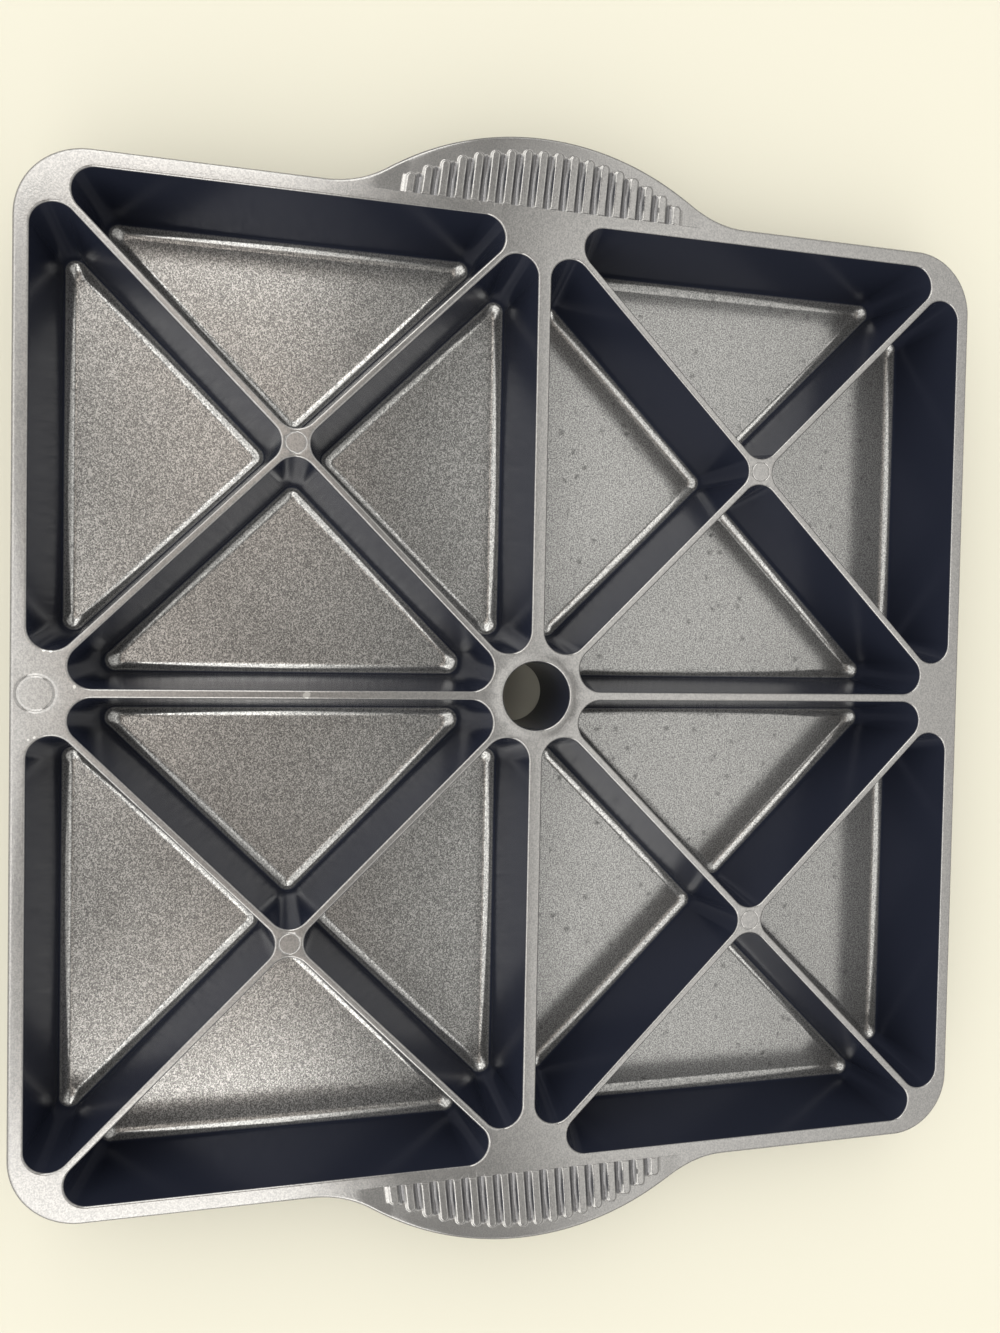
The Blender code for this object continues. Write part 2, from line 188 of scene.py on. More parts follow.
def well_lines(kind):
    """The well's three sides, counter-clockwise, and its three corner radii."""
    half = DIAGONAL_RIB / 2
    above_rising = (ACROSS_RISING, ACROSS_RISING @ NODE + half)
    below_rising = (ACROSS_RISING, ACROSS_RISING @ NODE - half)
    inside_falling = (ACROSS_FALLING, ACROSS_FALLING @ NODE - half)
    outside_falling = (ACROSS_FALLING, ACROSS_FALLING @ NODE + half)
    x_axis = np.array((1.0, 0.0))
    y_axis = np.array((0.0, 1.0))
    if kind == "cross_rib":
        lines = ((x_axis, OPEN_X0), above_rising, inside_falling)
        return lines, (HUB_CORNER_RADIUS, NODE_CORNER_RADIUS, RIM_TIP_RADIUS)
    if kind == "long_rib":
        lines = ((y_axis, OPEN_Y0), inside_falling, below_rising)
        return lines, (RIM_TIP_RADIUS, NODE_CORNER_RADIUS, HUB_CORNER_RADIUS)
    if kind == "handle_rim":
        lines = ((x_axis, OPEN_X1), below_rising, outside_falling)
    else:
        lines = ((y_axis, OPEN_Y1), outside_falling, above_rising)
    return lines, (RIM_TIP_RADIUS, NODE_CORNER_RADIUS, RIM_TIP_RADIUS)


class Well:
    """The outline of a well's mouth in the first quarter of the pan."""

    def __init__(self, kind):
        self.kind = kind
        lines, self.radii = well_lines(kind)
        base, first, second = lines
        self.corners = (meet(base, first), meet(first, second), meet(second, base))
        self.samples = []
        for k in range(3):
            before = self.normal(k - 1)
            after = self.normal(k)
            start = math.atan2(before[1], before[0])
            turn = (math.atan2(after[1], after[0]) - start) % (2 * math.pi)
            steps = TIP_STEPS if turn > math.radians(120.0) else SQUARE_STEPS
            for j in range(steps + 1):
                angle = start + turn * j / steps
                self.samples.append((k, np.array((math.cos(angle), math.sin(angle)))))
        self.rooms = [self.room(k, heading) for k, heading in self.samples]

    def normal(self, k):
        run = self.corners[(k + 1) % 3] - self.corners[k % 3]
        run /= np.linalg.norm(run)
        return np.array((run[1], -run[0]))

    def corner(self, k, inset):
        before = self.normal(k - 1)
        inward = -(before + self.normal(k))
        inward /= np.linalg.norm(inward)
        return self.corners[k] + inward * (inset / -(inward @ before))

    def outline(self, insets):
        """The outline moved in by one inset, or by one for each sample."""
        insets = np.broadcast_to(insets, (len(self.samples),))
        flat = []
        for (k, heading), inset in zip(self.samples, insets):
            shrink = inset * CORNER_TAPER if inset > 0.0 else inset
            radius = max(self.radii[k] - shrink, LEAST_RADIUS)
            flat.append(self.corner(k, inset + radius) + heading * radius)
        return flat

    def room(self, k, heading):
        """From the mouth to the middle of the next rib or into the hub's wall."""
        radius = self.radii[k]
        start = self.corner(k, radius)
        first = (np.array((-1.0, 0.0)), 0.0)
        if self.kind in ("long_rib", "handle_rim"):
            first = (np.array((0.0, -1.0)), 0.0)
        side = 1.0 if self.kind in ("long_rib", "handle_rim") else -1.0
        inner = 1.0 if self.kind.endswith("_rib") else -1.0
        rising = (side * ACROSS_RISING, side * (ACROSS_RISING @ NODE))
        falling = (inner * ACROSS_FALLING, inner * (ACROSS_FALLING @ NODE))
        best = 99.0
        for normal, distance in (first, rising, falling):
            slope = normal @ heading
            if slope > 1e-9:
                best = min(best, (distance - normal @ start) / slope)
        hub = HUB_RADIUS - 1.0
        middle = start @ heading
        root = middle**2 - start @ start + hub**2
        if root > 0.0 and middle < 0.0:
            best = min(best, -middle - math.sqrt(root))
        return best - radius


def well_inside(well):
    """The well's floor, fillet, walls and rounded mouth."""
    surface = Surface()
    foot = FLOOR_THICKNESS + FLOOR_FILLET * (1.0 - math.sin(DRAFT))
    centre = (HEIGHT - foot) * LEAN + FLOOR_FILLET * math.cos(DRAFT)
    rows = []
    for step in range(11):
        angle = math.pi / 2 + (DRAFT - math.pi / 2) * step / 10
        inset = centre - FLOOR_FILLET * math.cos(angle)
        rows.append((inset, FLOOR_THICKNESS + FLOOR_FILLET * (1.0 - math.sin(angle))))
    for share in (0.25, 0.5, 0.75):
        z = foot + (HEIGHT - WELL_EDGE - foot) * share
        rows.append(((HEIGHT - z) * LEAN, z))
    back = WELL_EDGE / math.tan((math.pi / 2 + DRAFT) / 2)
    for step in range(7):
        angle = (math.pi / 2 - DRAFT) * (1.0 - step / 6)
        inset = -back + WELL_EDGE * math.sin(angle)
        rows.append((inset, HEIGHT - WELL_EDGE * (1.0 - math.cos(angle))))
    rings = [surface.ring(well.outline(inset), z) for inset, z in rows]
    surface.faces.append(tuple(rings[0]))
    for lower, upper in zip(rings, rings[1:]):
        surface.bridge(upper, lower)
    return surface


def mouth_loop(well):
    back = WELL_EDGE / math.tan((math.pi / 2 + DRAFT) / 2)
    return well.outline(-back)


def outer_offset(z):
    return WALL_THICKNESS - (HEIGHT - z) * LEAN


def root_radius(room):
    """Radius of the hollow between two wells, seen from below."""
    share = min(max((room - 1.0) / (web_room() - 1.0), 0.0), 1.0)
    return RIB_ROOT + (RIM_ROOT - RIB_ROOT) * share


def web_room():
    """The offset at which the rim's flat underside starts."""
    return outer_offset(RIM_UNDER - RIM_ROOT) + RIM_ROOT / math.cos(DRAFT)


def well_outside(well):
    """The well's walls and base as seen from below."""
    surface = Surface()
    rooms = np.minimum(well.rooms, web_room())
    radii = np.array([root_radius(room) for room in rooms])
    low = HEIGHT - (WALL_THICKNESS - rooms + radii / math.cos(DRAFT)) / LEAN
    rows = [(rooms, np.full(len(rooms), RIM_UNDER + SEAM_OVERLAP))]
    for step in range(7):
        angle = math.pi / 2 - (math.pi / 2 + DRAFT) * step / 6
        rows.append((rooms - radii * np.cos(angle), low + radii * math.sin(angle)))
    start = BASE_FILLET * (1.0 - math.sin(DRAFT))
    middle = outer_offset(start) - BASE_FILLET * math.cos(DRAFT)
    for step in range(9):
        angle = DRAFT + (math.pi / 2 - DRAFT) * step / 8
        offset = middle + BASE_FILLET * math.cos(angle)
        z = BASE_FILLET * (1.0 - math.sin(angle))
        rows.append((np.full(len(rooms), offset), np.full(len(rooms), z)))
    rings = [surface.ring(well.outline(-offset), z) for offset, z in rows]
    surface.faces.append(tuple(rings[-1][::-1]))
    for upper, lower in zip(rings, rings[1:]):
        surface.bridge(lower, upper)
    return surface


def under_loop(well):
    return well.outline(-np.minimum(well.rooms, web_room()) + 0.02)


# Hub


def circle(radius, count=96, centre=(0.0, 0.0)):
    angles = np.arange(count) * 2 * math.pi / count
    return np.stack((centre[0] + radius * np.cos(angles), centre[1] + radius * np.sin(angles)), 1)


def hub():
    surface = Surface()
    foot = HUB_HOLE_RADIUS - (HEIGHT - HUB_FOOT) * math.tan(HUB_DRAFT)
    outer = HUB_RADIUS - (HEIGHT - HUB_FOOT) * math.tan(HUB_DRAFT)
    step_edge = HUB_HOLE_RADIUS + HOLE_STEP
    rows = [(step_edge, HEIGHT), (step_edge - HOLE_STEP_SIDE, HEIGHT - HOLE_STEP_DEPTH)]
    for step in range(7):
        angle = math.pi / 2 * step / 6
        back = WELL_EDGE * (1.0 - math.sin(angle))
        down = WELL_EDGE * (1.0 - math.cos(angle)) + HOLE_STEP_DEPTH
        rows.append((HUB_HOLE_RADIUS + back, HEIGHT - down))
    for step in range(5):
        angle = math.pi / 2 * step / 4
        back = HUB_BEVEL * (1.0 - math.cos(angle))
        rows.append((foot + back, HUB_FOOT + HUB_BEVEL * (1.0 - math.sin(angle))))
    for step in range(5):
        angle = math.pi / 2 * step / 4
        back = HUB_BEVEL * (1.0 - math.sin(angle))
        rows.append((outer - back, HUB_FOOT + HUB_BEVEL * (1.0 - math.cos(angle))))
    rows.append((HUB_RADIUS, RIM_UNDER + SEAM_OVERLAP))
    rings = [surface.ring(circle(radius), z) for radius, z in rows]
    for upper, lower in zip(rings, rings[1:]):
        surface.bridge(upper, lower)
    return surface


# Handles and rim


def grip_edge(y):
    y = abs(y)
    tangent = ROOT_Y * GRIP_RADIUS / (GRIP_RADIUS + ROOT_RADIUS)
    if y <= tangent:
        return ROOT_X + math.sqrt(GRIP_RADIUS**2 - y**2)
    if y >= ROOT_Y:
        return HALF
    return HALF + ROOT_RADIUS - math.sqrt(ROOT_RADIUS**2 - (ROOT_Y - y) ** 2)


def grip_normal(y):
    step = 0.01
    slope = (grip_edge(y + step) - grip_edge(y - step)) / (2 * step)
    return np.array((1.0, -slope)) / math.hypot(1.0, slope)


def smooth(value, low, high):
    share = min(max((value - low) / (high - low), 0.0), 1.0)
    return share * share * (3.0 - 2.0 * share)


BORDER = (FLUTES - 1) / 2 * FLUTE_PITCH + FLUTE_WIDTH / 2 + 2.6


def grip_columns():
    """Places along a handle's inner line, close together over the flutes."""
    count = round(2 * BORDER / FLUTE_PITCH * COLUMNS_PER_FLUTE)
    fluted = np.linspace(-BORDER, BORDER, count + 1)
    plain = np.linspace(BORDER, NOTCH, 21)[1:]
    return np.concatenate((-plain[::-1], fluted, plain))


def flute_arc(y, margin):
    """A line that follows the handle's edge at a distance, where the flutes stop."""
    return ROOT_X + math.sqrt((GRIP_RADIUS - margin) ** 2 - y**2)


def plate_drop(y):
    return PLATE_DROP * (1.0 - smooth(abs(y), BORDER - 1.0, BORDER + 9.0))


def flute_depth(x, y):
    """Depth of the handle's surface below the rim; y is taken on the inner line."""
    ball = ((FLUTE_WIDTH / 2) ** 2 + FLUTE_DEPTH**2) / (2 * FLUTE_DEPTH)
    last = (FLUTES - 1) / 2
    number = min(max(round(y / FLUTE_PITCH), -last), last)
    centre = number * FLUTE_PITCH
    end = flute_arc(centre, FLUTE_MARGIN) - FLUTE_WIDTH / 2
    away = math.hypot(y - centre, max(x - end, 0.0))
    bowl = math.sqrt(max(ball**2 - away**2, 0.0)) - (ball - FLUTE_DEPTH) - 2.0 * max(away - ball, 0.0)
    lift = smooth(x, GRIP_INNER + 7.0, GRIP_INNER - 1.0) + smooth(x, end - 5.0, end + 1.0)
    bowl -= 0.35 * lift * max(bowl, 0.0)
    between = math.floor(y / FLUTE_PITCH) + 0.5
    bar = min(max(between, -last - 0.5), last + 0.5) * FLUTE_PITCH
    half = (FLUTE_PITCH - FLUTE_WIDTH) / 2 + 0.1
    tip = flute_arc(bar, FLUTE_MARGIN - 0.7) - half
    beside = math.hypot(y - bar, max(x - tip, 0.0)) - half
    drop = plate_drop(y) * smooth(beside, -0.3, 0.35)
    depth = max(bowl, drop) + 0.25 * max(0.25 - abs(bowl - drop), 0.0) ** 2 / 0.25
    crease = CREASE_DEPTH * (1.0 - smooth(abs(x - GRIP_INNER - 0.25), 0.0, 0.3))
    crease *= 1.0 - smooth(abs(y), BORDER - 2.4, BORDER - 1.0)
    depth = max(depth, crease)
    return depth * smooth(x, GRIP_INNER, GRIP_INNER + 0.2)


def grip_rows(y):
    """Shares of a column's length: close together at the flutes' two ends."""
    long = grip_edge(y) - GRIP_INNER - RIM_EDGE
    arc = flute_arc(min(abs(y), BORDER), FLUTE_MARGIN) - GRIP_INNER
    arc = min(arc, long - 1.5) if abs(y) < BORDER + 1e-6 else long * 0.6
    near = np.array((0.0, 0.05, 0.1, 0.15, 0.2, 0.27, 0.35, 0.45, 0.55, 0.75, 1.0)) * min(1.0, arc / 6.0)
    first = near[-1]
    low = first + (arc - first) * 0.35 if arc < 5.0 else arc - 3.6
    middle = np.linspace(first, low, 8)[1:]
    end = np.linspace(low, arc + (long - arc) * 0.35, 33)[1:]
    rest = np.linspace(end[-1], long, 5)[1:]
    return np.concatenate((near, middle, end, rest)) / long


def edge_place(y):
    """Where the column that starts at y on the inner line meets the handle's edge."""
    slant = FLUTE_SLANT * (1.0 - smooth(abs(y), BORDER, NOTCH))
    place = y
    for _ in range(20):
        place = y + slant * (grip_edge(place) - GRIP_INNER)
    return place


def grip():
    """The top of the handle at +X, and the columns of points that make it."""
    surface = Surface()
    columns = grip_columns()
    lines = []
    for y in columns:
        place = edge_place(y)
        normal = grip_normal(place) if abs(y) < NOTCH else np.array((1.0, 0.0))
        start = np.array((GRIP_INNER, y))
        stop = np.array((grip_edge(place), place)) - normal * RIM_EDGE
        flat = [start + (stop - start) * share for share in grip_rows(y)]
        depths = [flute_depth(x, y) for x, _ in flat]
        depths[0] = 0.0
        depths[-1] = plate_drop(y)
        if abs(y) == NOTCH:
            depths = [0.0] * len(flat)
        lines.append(surface.ring(flat, HEIGHT - np.array(depths)))
    for first, second in zip(lines, lines[1:]):
        surface.bridge(first, second, closed=False)
    flat = [surface.points[i][:2] for i in lines[0][::-1]]
    flat += [surface.points[line[0]][:2] for line in lines[1:-1]]
    flat += [surface.points[i][:2] for i in lines[-1]]
    return surface, flat


def half_edge():
    """The outer edge at +X: points, outward normals, drop, and which belong to the handle."""
    columns = grip_columns()
    flat = []
    normals = []
    inner = HALF - RIM_CORNER_RADIUS
    for x in np.linspace(0.0, inner, 9)[:-1]:
        flat.append((x, HALF))
        normals.append((0.0, 1.0))
    for step in range(33):
        angle = math.pi / 2 * (1.0 - step / 32)
        heading = (math.cos(angle), math.sin(angle))
        flat.append(tuple(inner + RIM_CORNER_RADIUS * part for part in heading))
        normals.append(heading)
    for y in np.linspace(inner, NOTCH, 6)[1:-1]:
        flat.append((HALF, y))
        normals.append((1.0, 0.0))
    plain = len(flat)
    lower = [(x, -y) for x, y in flat]
    lower_normals = [(x, -y) for x, y in normals]
    grip_flat = []
    grip_normals = []
    for y in columns:
        place = edge_place(y)
        grip_flat.append((grip_edge(place), place))
        grip_normals.append(tuple(grip_normal(place)) if abs(y) < NOTCH else (1.0, 0.0))
    drops = [0.0] * plain + [plate_drop(y) for y in columns] + [0.0] * plain
    drops[plain] = 0.0
    drops[plain + len(columns) - 1] = 0.0
    flat = lower + grip_flat + flat[::-1]
    normals = lower_normals + grip_normals + normals[::-1]
    return np.array(flat), np.array(normals), np.array(drops), plain


def all_round(half):
    """A line at +X from -Y to +Y, repeated round the pan by mirroring."""
    half = np.asarray(half, dtype=float)
    mirrored = half[::-1].copy()
    if half.ndim == 2:
        mirrored[:, 0] *= -1.0
    return np.concatenate((half, mirrored[1:-1]))


def rim():
    """The rounded outer edge all round, handles included."""
    surface = Surface()
    flat, normals, drops, plain = half_edge()
    rows = []
    for step in range(9):
        angle = math.pi / 2 * step / 8
        rows.append((RIM_EDGE * (1.0 - math.sin(angle)), HEIGHT - RIM_EDGE * (1.0 - math.cos(angle)), 1.0))
    for step in range(9):
        angle = math.pi / 2 * step / 8
        z = RIM_UNDER + RIM_EDGE * (1.0 - math.sin(angle))
        rows.append((RIM_EDGE * (1.0 - math.cos(angle)), z, 0.0))
    rings = []
    for back, z, share in rows:
        loop = all_round(flat - normals * back)
        rings.append(surface.ring(loop, z - share * all_round(drops)))
    for upper, lower in zip(rings, rings[1:]):
        surface.bridge(lower, upper)
    return surface, flat - normals * RIM_EDGE, loop, plain


# Marks that the mould's ejector pins leave


def ring_mark(centre, radius, width, depth):
    """A disc inside a fine groove."""
    surface = Surface()
    rows = []
    for step in range(9):
        angle = 2 * math.pi * step / 8
        rows.append((radius - width * step / 8, HEIGHT - depth * 0.5 * (1.0 - math.cos(angle))))
    rings = [surface.ring(circle(r, 48, centre), z) for r, z in rows]
    for outer, inner in zip(rings, rings[1:]):
        surface.bridge(outer, inner)
    surface.faces.append(tuple(rings[-1]))
    return surface, circle(radius, 48, centre)


def casting():
    """The whole pan as one piece, as it is cast."""
    whole = Surface()
    mouths = []
    unders = []
    for kind in ("cross_rib", "long_rib", "handle_rim", "side_rim"):
        well = Well(kind)
        inside = well_inside(well)
        outside = well_outside(well)
        for flip_x in (False, True):
            for flip_y in (False, True):
                signs = (-1.0 if flip_x else 1.0, -1.0 if flip_y else 1.0)
                whole.add_mirrored(inside, flip_x, flip_y)
                whole.add_mirrored(outside, flip_x, flip_y)
                mouths.append(np.array(mouth_loop(well)) * signs)
                unders.append(np.array(under_loop(well)) * signs)
    top, seam = grip()
    for flip_x in (False, True):
        whole.add_mirrored(top, flip_x, False)
    edge, inner_edge, lowest, plain = rim()
    whole.add_mirrored(edge, False, False)
    whole.add_mirrored(hub(), False, False)
    deck = all_round(np.concatenate((inner_edge[:plain], np.array(seam), inner_edge[-plain:])))
    holes = [circle(HUB_HOLE_RADIUS + HOLE_STEP)]
    marks = [(NODE[0] * sx, NODE[1] * sy, *PIN_MARK) for sx in (-1, 1) for sy in (-1, 1)]
    marks.append((*LARGE_MARK_PLACE, *LARGE_MARK))
    for x, y, radius, width, depth in marks:
        mark, loop = ring_mark((x, y), radius, width, depth)
        whole.add_mirrored(mark, False, False)
        holes.append(loop)
    whole.fill([deck] + mouths + holes, HEIGHT, True)
    whole.fill([lowest] + unders + [circle(HUB_RADIUS - 0.5)], RIM_UNDER, False)
    return whole.build("casting")


pan = casting()
bpy.context.collection.objects.link(pan)
for polygon in pan.data.polygons:
    polygon.use_smooth = True
pan.data.set_sharp_from_angle(angle=math.radians(50.0))
weighted = pan.modifiers.new("even shading", "WEIGHTED_NORMAL")
weighted.mode = "FACE_AREA"
weighted.weight = 50
weighted.keep_sharp = True
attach(pan, "root")
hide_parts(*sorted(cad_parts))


# Materials


def linear(colour):
    """A six-digit sRGB hex colour as linear values."""
    parts = [int(colour[i : i + 2], 16) / 255 for i in (0, 2, 4)]
    return [p / 12.92 if p <= 0.04045 else ((p + 0.055) / 1.055) ** 2.4 for p in parts] + [1.0]


def node(tree, kind, inputs=(), **settings):
    """Adds a node; an input is another node's output or a plain value."""
    made = tree.nodes.new("ShaderNode" + kind)
    for name, value in settings.items():
        setattr(made, name, value)
    for key, value in dict(inputs).items():
        if isinstance(value, bpy.types.NodeSocket):
            tree.links.new(value, made.inputs[key])
        else:
            made.inputs[key].default_value = value
    return made


def calc(tree, operation, first, second=0.0):
    return node(tree, "Math", {0: first, 1: second}, operation=operation).outputs[0]


def mix_value(tree, factor, first, second):
    return node(tree, "Mix", {0: factor, 2: first, 3: second}, data_type="FLOAT").outputs[0]


def mix_colour(tree, factor, first, second):
    return node(tree, "Mix", {0: factor, 6: first, 7: second}, data_type="RGBA").outputs[2]


def ramp(tree, value, low, high, out_low=0.0, out_high=1.0):
    """A smooth step from one value to another."""
    inputs = {"Value": value, "From Min": low, "From Max": high, "To Min": out_low, "To Max": out_high}
    return node(tree, "MapRange", inputs, interpolation_type="SMOOTHSTEP").outputs[0]


def per_mm(size):
    """Texture scale for features of a size in millimetres."""
    return 1.0 / (size * MM)


# Bare spots at the edges near the left mark, and a pin mark on the rib: place and radius
BARE_SPOTS = (
    (-11.0, -131.8, 0.45),
    (-10.9, -130.1, 0.5),
    (-1.7, -124.3, 0.5),
    (11.4, -133.9, 0.4),
    (12.0, -135.3, 0.35),
    (0.1, -65.2, 1.1),
)


def bare_spots(tree, place):
    """1 where the coating is knocked off on the deck, 0 elsewhere."""
    ragged = node(tree, "TexNoise", {"Vector": place, "Scale": per_mm(0.8), "Detail": 2.0}).outputs[0]
    found = 0.0
    for x, y, radius in BARE_SPOTS:
        centre = (x * MM, y * MM, HEIGHT * MM)
        away = node(tree, "VectorMath", {0: place, 1: centre}, operation="DISTANCE").outputs[1]
        away = calc(tree, "DIVIDE", away, radius * MM)
        away = calc(tree, "ADD", away, calc(tree, "MULTIPLY", ragged, 0.9))
        found = calc(tree, "MAXIMUM", found, ramp(tree, away, 1.15, 1.4, 1.0, 0.0))
    return found


# Grain of the coating's patterns in millimetres. The real sparkle is too fine to show in the render, so its
# glints are painted into the colour as bright specks, drawn as coarse as they need to show.
GRAIN = 0.42
SPARKLE_GRAIN = 0.32
MOTTLING = 9.0
PIT_SPACING = 5.0
PIT_WANDER = 1.3


def coating():
    """The casting's finish, told apart by place: floors, fillets, walls, deck and flutes, with shade painted
    on the walls and in the flutes, and glints painted on the floors.
    """
    # Cast aluminium under a thin sprayed coating: level faces mirror the light above softly and sparkle,
    # partly through painted glints; the upright walls look nearly black and a little blue, which is painted
    # shade in their colour.
    material = bpy.data.materials.new("cast aluminium with grey non-stick coating")
    material.use_nodes = True
    tree = material.node_tree
    shader = tree.nodes["Principled BSDF"]
    coords = node(tree, "TexCoord")
    place = coords.outputs["Object"]
    turned = node(tree, "SeparateXYZ", {"Vector": coords.outputs["Normal"]})
    flatness = ramp(tree, calc(tree, "ABSOLUTE", turned.outputs["Z"]), 0.4, 0.75)
    parts = node(tree, "SeparateXYZ", {"Vector": place})
    deck = ramp(tree, parts.outputs["Z"], 22.0 * MM, 28.0 * MM)
    # Painted glints are stronger on the floors on the left, where the light brings out more sparkle, and
    # pits show more on the floors on the right
    right = ramp(tree, parts.outputs["Y"], -8.0 * MM, 12.0 * MM)

    outward = calc(tree, "ABSOLUTE", parts.outputs["X"])
    on_handle = ramp(tree, outward, (GRIP_INNER + 0.2) * MM, (GRIP_INNER + 0.5) * MM)
    # Painted shade: 1 in the handles' flutes, where the recesses are darkened in colour
    flute_shade = ramp(tree, parts.outputs["Z"], (HEIGHT - 0.55) * MM, (HEIGHT - 0.33) * MM, 1.0, 0.0)
    flute_shade = calc(tree, "MULTIPLY", flute_shade, on_handle)
    in_fillet = ramp(tree, parts.outputs["Z"], (FLOOR_THICKNESS + 0.02) * MM, (FLOOR_THICKNESS + 0.3) * MM)
    in_fillet = calc(tree, "MULTIPLY", in_fillet, calc(tree, "SUBTRACT", 1.0, deck))

    grain = node(tree, "TexNoise", {"Vector": place, "Scale": per_mm(GRAIN), "Detail": 2.0}).outputs[0]
    patches = node(tree, "TexNoise", {"Vector": place, "Scale": per_mm(MOTTLING), "Detail": 4.0}).outputs[0]
    wander = node(tree, "TexNoise", {"Vector": place, "Scale": per_mm(PIT_WANDER), "Detail": 1.0}).outputs[1]
    nudge = node(tree, "VectorMath", {0: wander, 1: (1.6 * MM,) * 3, 2: place}, operation="MULTIPLY_ADD")
    cell_inputs = {"Vector": nudge.outputs[0], "Scale": per_mm(PIT_SPACING), "Randomness": 1.0}
    cells = node(tree, "TexVoronoi", cell_inputs)
    chance = node(tree, "SeparateColor", {"Color": cells.outputs["Color"]}).outputs[0]
    pit = ramp(tree, cells.outputs["Distance"], 0.04, 0.25, 1.0, 0.0)
    pit = calc(tree, "MULTIPLY", pit, ramp(tree, chance, 0.05, 0.55))
    floor_share = mix_value(tree, right, 0.2, 1.0)
    pit = calc(tree, "MULTIPLY", pit, mix_value(tree, deck, floor_share, 0.0))

    floor_grey = mix_colour(tree, ramp(tree, grain, 0.3, 0.7), linear("606060"), linear("a09f9d"))
    # Painted glints: bright specks on the floors stand in for the coating's sparkle, fewer on the fillets
    # and on the right
    glint_cells = node(tree, "TexVoronoi", {"Vector": place, "Scale": per_mm(SPARKLE_GRAIN), "Randomness": 1.0})
    sparkle = node(tree, "SeparateColor", {"Color": glint_cells.outputs["Color"]}).outputs[0]
    painted_glints = calc(tree, "MULTIPLY", ramp(tree, sparkle, 0.4, 1.0), mix_value(tree, right, 0.6, 0.12))
    painted_glints = calc(tree, "MULTIPLY", painted_glints, mix_value(tree, in_fillet, 1.0, 0.3))
    floor_grey = mix_colour(tree, painted_glints, floor_grey, linear("e0dfdc"))
    deck_grey = mix_colour(tree, ramp(tree, grain, 0.3, 0.7), linear("828180"), linear("989694"))
    grey = mix_colour(tree, deck, floor_grey, deck_grey)
    grey = mix_colour(tree, calc(tree, "MULTIPLY", pit, 0.5), grey, linear("3c3c3c"))
    # Painted shade darkening the handles' flutes
    grey = mix_colour(tree, calc(tree, "MULTIPLY", flute_shade, 0.6), grey, linear("303138"))
    grey = mix_colour(tree, calc(tree, "MULTIPLY", bare_spots(tree, place), 0.5), grey, linear("e2e2de"))
    # Painted shade: upright faces get a nearly black, slightly blue colour for the shade they stand in,
    # level faces the grey above
    colour = mix_colour(tree, flatness, linear("20232e"), grey)
    tree.links.new(colour, shader.inputs["Base Color"])
    tree.links.new(calc(tree, "MULTIPLY", flatness, 0.74), shader.inputs["Metallic"])
    rough = calc(tree, "ADD", ramp(tree, patches, 0.3, 0.7, 0.12, 0.16), calc(tree, "MULTIPLY", pit, 0.1))
    rough = calc(tree, "ADD", rough, calc(tree, "MULTIPLY", in_fillet, mix_value(tree, right, 0.02, 0.08)))
    rough = mix_value(tree, flatness, 0.18, rough)
    tree.links.new(rough, shader.inputs["Roughness"])
    shader.inputs["Specular IOR Level"].default_value = 0.1
    tint = mix_colour(tree, flatness, linear("b0b8ea"), linear("ffffff"))
    tree.links.new(tint, shader.inputs["Specular Tint"])

    strength = mix_value(tree, deck, mix_value(tree, right, 0.8, 0.55), 0.45)
    relief = calc(tree, "MULTIPLY", grain, strength)
    relief = calc(tree, "SUBTRACT", relief, calc(tree, "MULTIPLY", pit, 0.6))
    relief = calc(tree, "MULTIPLY", relief, mix_value(tree, flatness, 0.15, 1.0))
    relief = calc(tree, "MULTIPLY", relief, mix_value(tree, in_fillet, 1.0, 0.3))
    bump = node(tree, "Bump", {"Height": relief, "Strength": 1.0, "Distance": 0.03 * MM})
    tree.links.new(bump.outputs[0], shader.inputs["Normal"])
    return material


pan.data.materials.append(coating())

# Floor, light and camera
TABLE_HALF = 30.0  # metres, so wide that none of its corners shows
table_mesh = bpy.data.meshes.new("table")
bm = bmesh.new()
bmesh.ops.create_grid(bm, x_segments=1, y_segments=1, size=TABLE_HALF)
bm.to_mesh(table_mesh)
bm.free()
table = bpy.data.objects.new("table", table_mesh)
bpy.context.collection.objects.link(table)
# A matt, pale surface: an even tone with no highlight, and a soft shadow under the rim
table_material = bpy.data.materials.new("pale table")
table_material.use_nodes = True
table_material.node_tree.nodes["Principled BSDF"].inputs["Base Color"].default_value = linear("bebbad")
table_material.node_tree.nodes["Principled BSDF"].inputs["Roughness"].default_value = 0.9
table.data.materials.append(table_material)

# Patches of light and shade overhead. A direction is given by its slopes x/z and y/z:
# middle, half size, softness of the edge and brightness.
PATCHES = (
    ("bright band over the middle", (0.0, -0.2), (2.5, 0.325), 0.06, 4.2),
    ("bright band lower down", (0.0, -1.1), (2.5, 0.65), 0.1, 2.8),
    ("soft edge of the bright band", (0.0, 0.12), (9.0, 0.035), 0.5, 0.8),
    ("dimmer part of the band, over the pan", (0.03, -0.22), (0.43, 0.31), 0.06, 1.6),
    ("brighter spot in the dimmer part", (0.1, -0.34), (0.24, 0.13), 0.3, 3.2),
    ("dark bar beside the band", (0.0, 0.19), (9.0, 0.075), 0.25, 0.3),
    ("middle of the dark bar", (0.02, 0.14), (0.43, 0.09), 0.15, 0.4),
    ("dark bar over the left handle", (-0.8, 0.23), (0.32, 0.1), 0.35, 0.3),
    ("dark bar over the right handle", (0.9, 0.24), (0.34, 0.1), 0.35, 0.2),
    ("shade straight above", (0.1, 0.05), (0.2, 0.12), 0.35, 0.5),
    ("shade on the left", (-0.15, -0.15), (0.1, 0.08), 0.7, 0.6),
    ("shade on the right", (0.24, -0.16), (0.09, 0.08), 0.7, 0.3),
)


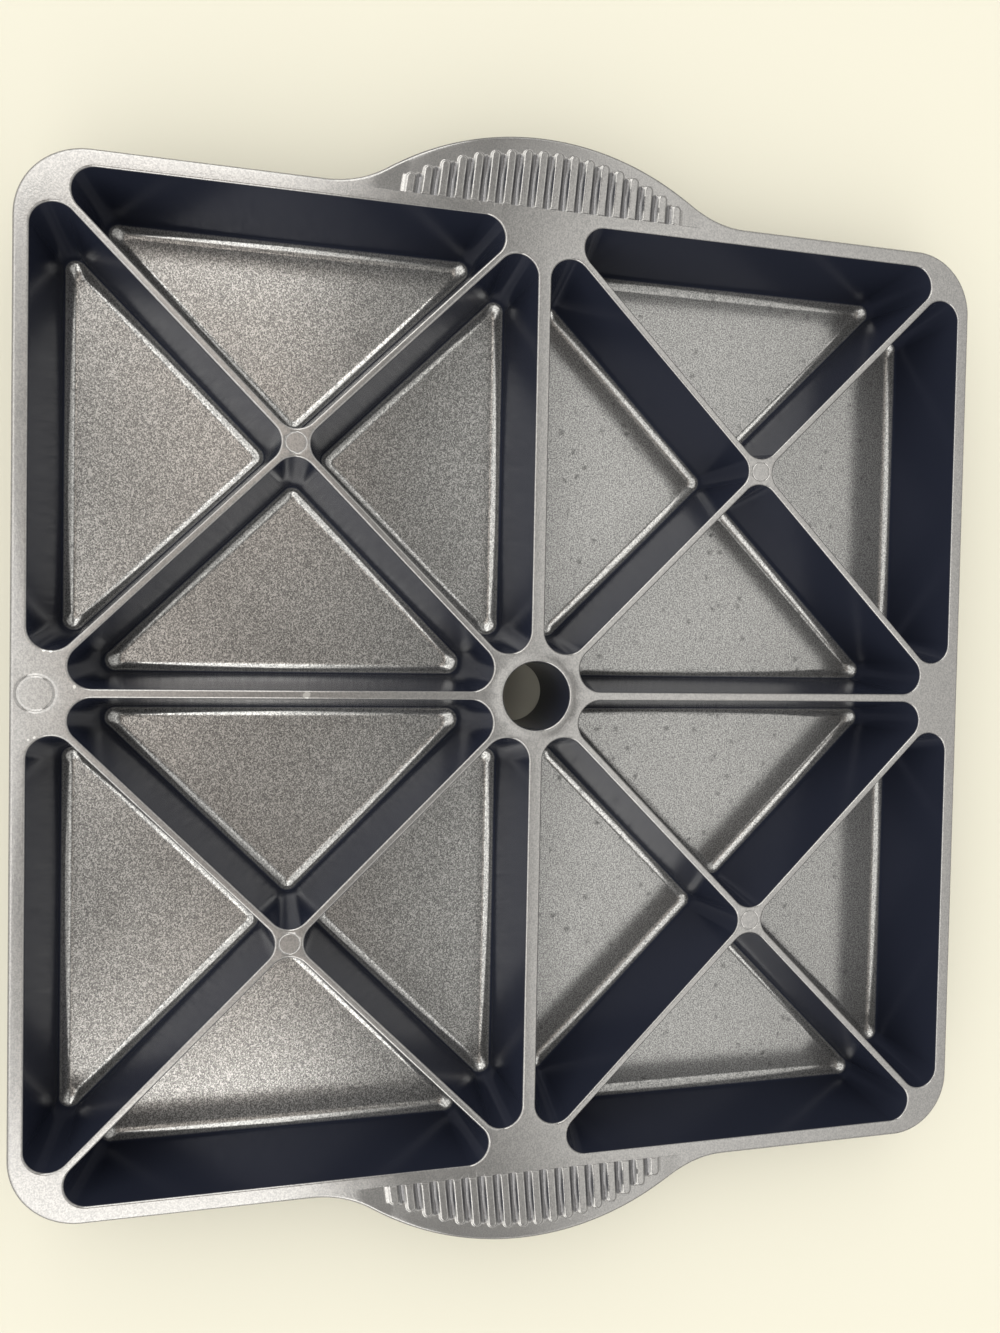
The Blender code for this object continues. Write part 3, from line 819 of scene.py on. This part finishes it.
def patch_mask(tree, slope, middle, size, soft):
    """1 inside a rectangle of directions and 0 outside it."""
    offset = node(tree, "VectorMath", {0: slope, 1: (*middle, 0.0)}, operation="SUBTRACT")
    share = node(tree, "VectorMath", {0: offset.outputs[0], 1: (*size, 1.0)}, operation="DIVIDE")
    across = node(tree, "VectorMath", {0: share.outputs[0]}, operation="ABSOLUTE")
    parts = node(tree, "SeparateXYZ", {"Vector": across.outputs[0]})
    away = calc(tree, "MAXIMUM", parts.outputs["X"], parts.outputs["Y"])
    return ramp(tree, away, 1.0 - soft, 1.0 + soft, 1.0, 0.0)


def studio():
    """Soft light all round, with broad bright and dark patches overhead."""
    world = bpy.data.worlds.new("studio")
    bpy.context.scene.world = world
    world.use_nodes = True
    tree = world.node_tree
    towards = node(tree, "SeparateXYZ", {"Vector": node(tree, "TexCoord").outputs["Generated"]})
    up = calc(tree, "MAXIMUM", towards.outputs["Z"], 0.02)
    slopes = {
        "X": calc(tree, "DIVIDE", towards.outputs["X"], up),
        "Y": calc(tree, "DIVIDE", towards.outputs["Y"], up),
    }
    slope = node(tree, "CombineXYZ", slopes).outputs[0]
    light = ramp(tree, slopes["Y"], 0.35, 0.95, 1.8, 1.0)
    low = ramp(tree, towards.outputs["Z"], 0.1, 0.6, 0.5, 1.0)
    light = calc(tree, "MULTIPLY", light, low)
    for _, middle, size, soft, level in PATCHES:
        light = mix_value(tree, patch_mask(tree, slope, middle, size, soft), light, level)
    seen = node(tree, "LightPath").outputs["Is Camera Ray"]
    light = mix_value(tree, seen, light, 0.85)
    background = tree.nodes["Background"]
    warm = patch_mask(tree, slope, (0.03, -0.03), (0.4, 0.14), 0.3)
    warm = calc(tree, "MULTIPLY", warm, calc(tree, "SUBTRACT", 1.0, seen))
    tint = mix_colour(tree, warm, linear("fffefa"), linear("fff4ea"))
    tree.links.new(tint, background.inputs["Color"])
    tree.links.new(light, background.inputs["Strength"])


studio()

# The camera, solved from the wells' edges: radians about X, Y and Z, and millimetres
CAMERA_ANGLES = (0.0263, 0.2372, -0.0126)
CAMERA_PLACE = (-15.7, -78.4, 309.95)
CAMERA_LENS = 36.148
SENSOR_WIDTH = 36.0


def photo_camera():
    """The photograph's own viewpoint: straight above, a little off the pan's middle."""
    tilt, lean, roll = CAMERA_ANGLES
    base = np.array(((0, 1, 0), (-1, 0, 0), (0, 0, 1)), dtype=float)
    about_x = ((1, 0, 0), (0, math.cos(tilt), -math.sin(tilt)), (0, math.sin(tilt), math.cos(tilt)))
    about_y = ((math.cos(lean), 0, math.sin(lean)), (0, 1, 0), (-math.sin(lean), 0, math.cos(lean)))
    about_z = ((math.cos(roll), -math.sin(roll), 0), (math.sin(roll), math.cos(roll), 0), (0, 0, 1))
    turn = (np.array(about_z) @ np.array(about_y) @ np.array(about_x) @ base).T
    data = bpy.data.cameras.new("camera")
    data.sensor_fit = "HORIZONTAL"
    data.sensor_width = SENSOR_WIDTH
    data.lens = CAMERA_LENS
    data.clip_start = 0.01
    thing = bpy.data.objects.new("camera", data)
    place = Matrix.Identity(4)
    for i in range(3):
        for j in range(3):
            place[i][j] = turn[i][j]
    for i, distance in enumerate(CAMERA_PLACE):
        place[i][3] = distance * MM
    thing.matrix_world = place
    bpy.context.collection.objects.link(thing)
    bpy.context.scene.camera = thing


photo_camera()
bpy.context.scene.view_settings.view_transform = "Standard"
